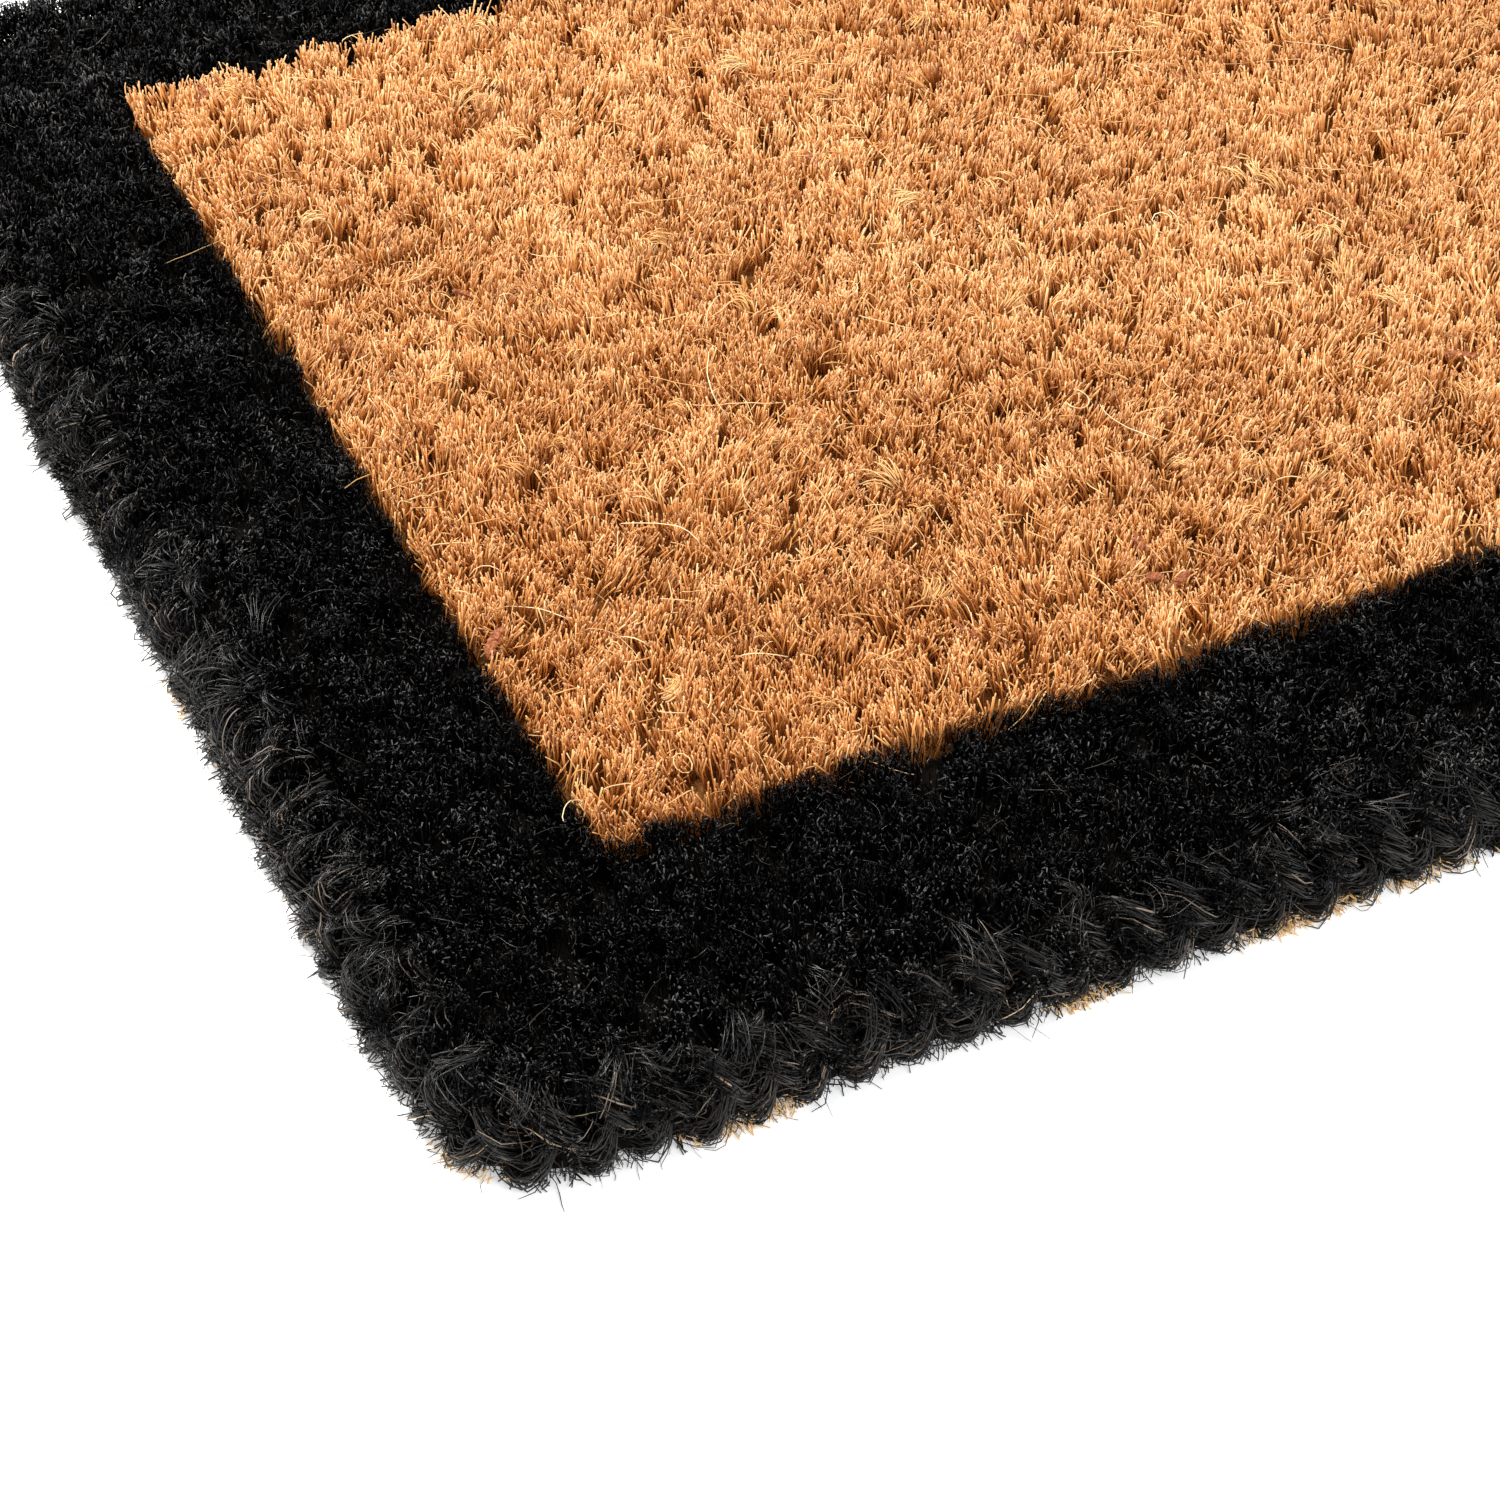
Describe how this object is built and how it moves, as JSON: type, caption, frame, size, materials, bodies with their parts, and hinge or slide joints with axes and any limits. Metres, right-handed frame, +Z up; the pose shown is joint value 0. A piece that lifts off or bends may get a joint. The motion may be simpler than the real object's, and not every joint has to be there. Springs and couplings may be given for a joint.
{
  "type": "coir door mat",
  "caption": "Thick rectangular door mat: cut coir pile on a woven yarn base, with a dyed border and a three-strand plait sewn round its edge.",
  "frame": {"origin": "middle of the mat's underside, on the floor", "axes": "+X along the mat's long side, +Y across the mat, +Z up from the floor"},
  "size_m": [0.75, 0.45, 0.025],
  "materials": {
    "natural_pile": "natural golden coir fibre, cut, dry and matt",
    "dyed_pile": "coir fibre dyed black, cut, dry and matt",
    "dyed_plait": "long coir fibre dyed black, plaited, faint sheen along the fibres",
    "dyed_twine": "dark twisted twine, dry",
    "undyed_yarn": "undyed spun coir yarn, hairy and matt"
  },
  "bodies": {
    "root": {"weft_yarns": "undyed_yarn", "chain_warp_yarns_odd": "undyed_yarn", "chain_warp_yarns_even": "undyed_yarn", "field_pile": "natural_pile", "left_border_pile": "dyed_pile", "right_border_pile": "dyed_pile", "front_border_pile": "dyed_pile", "back_border_pile": "dyed_pile", "plait_strand_1": "dyed_plait", "plait_strand_2": "dyed_plait", "plait_strand_3": "dyed_plait", "edge_stitches": "dyed_twine"}
  },
  "joints": []
}
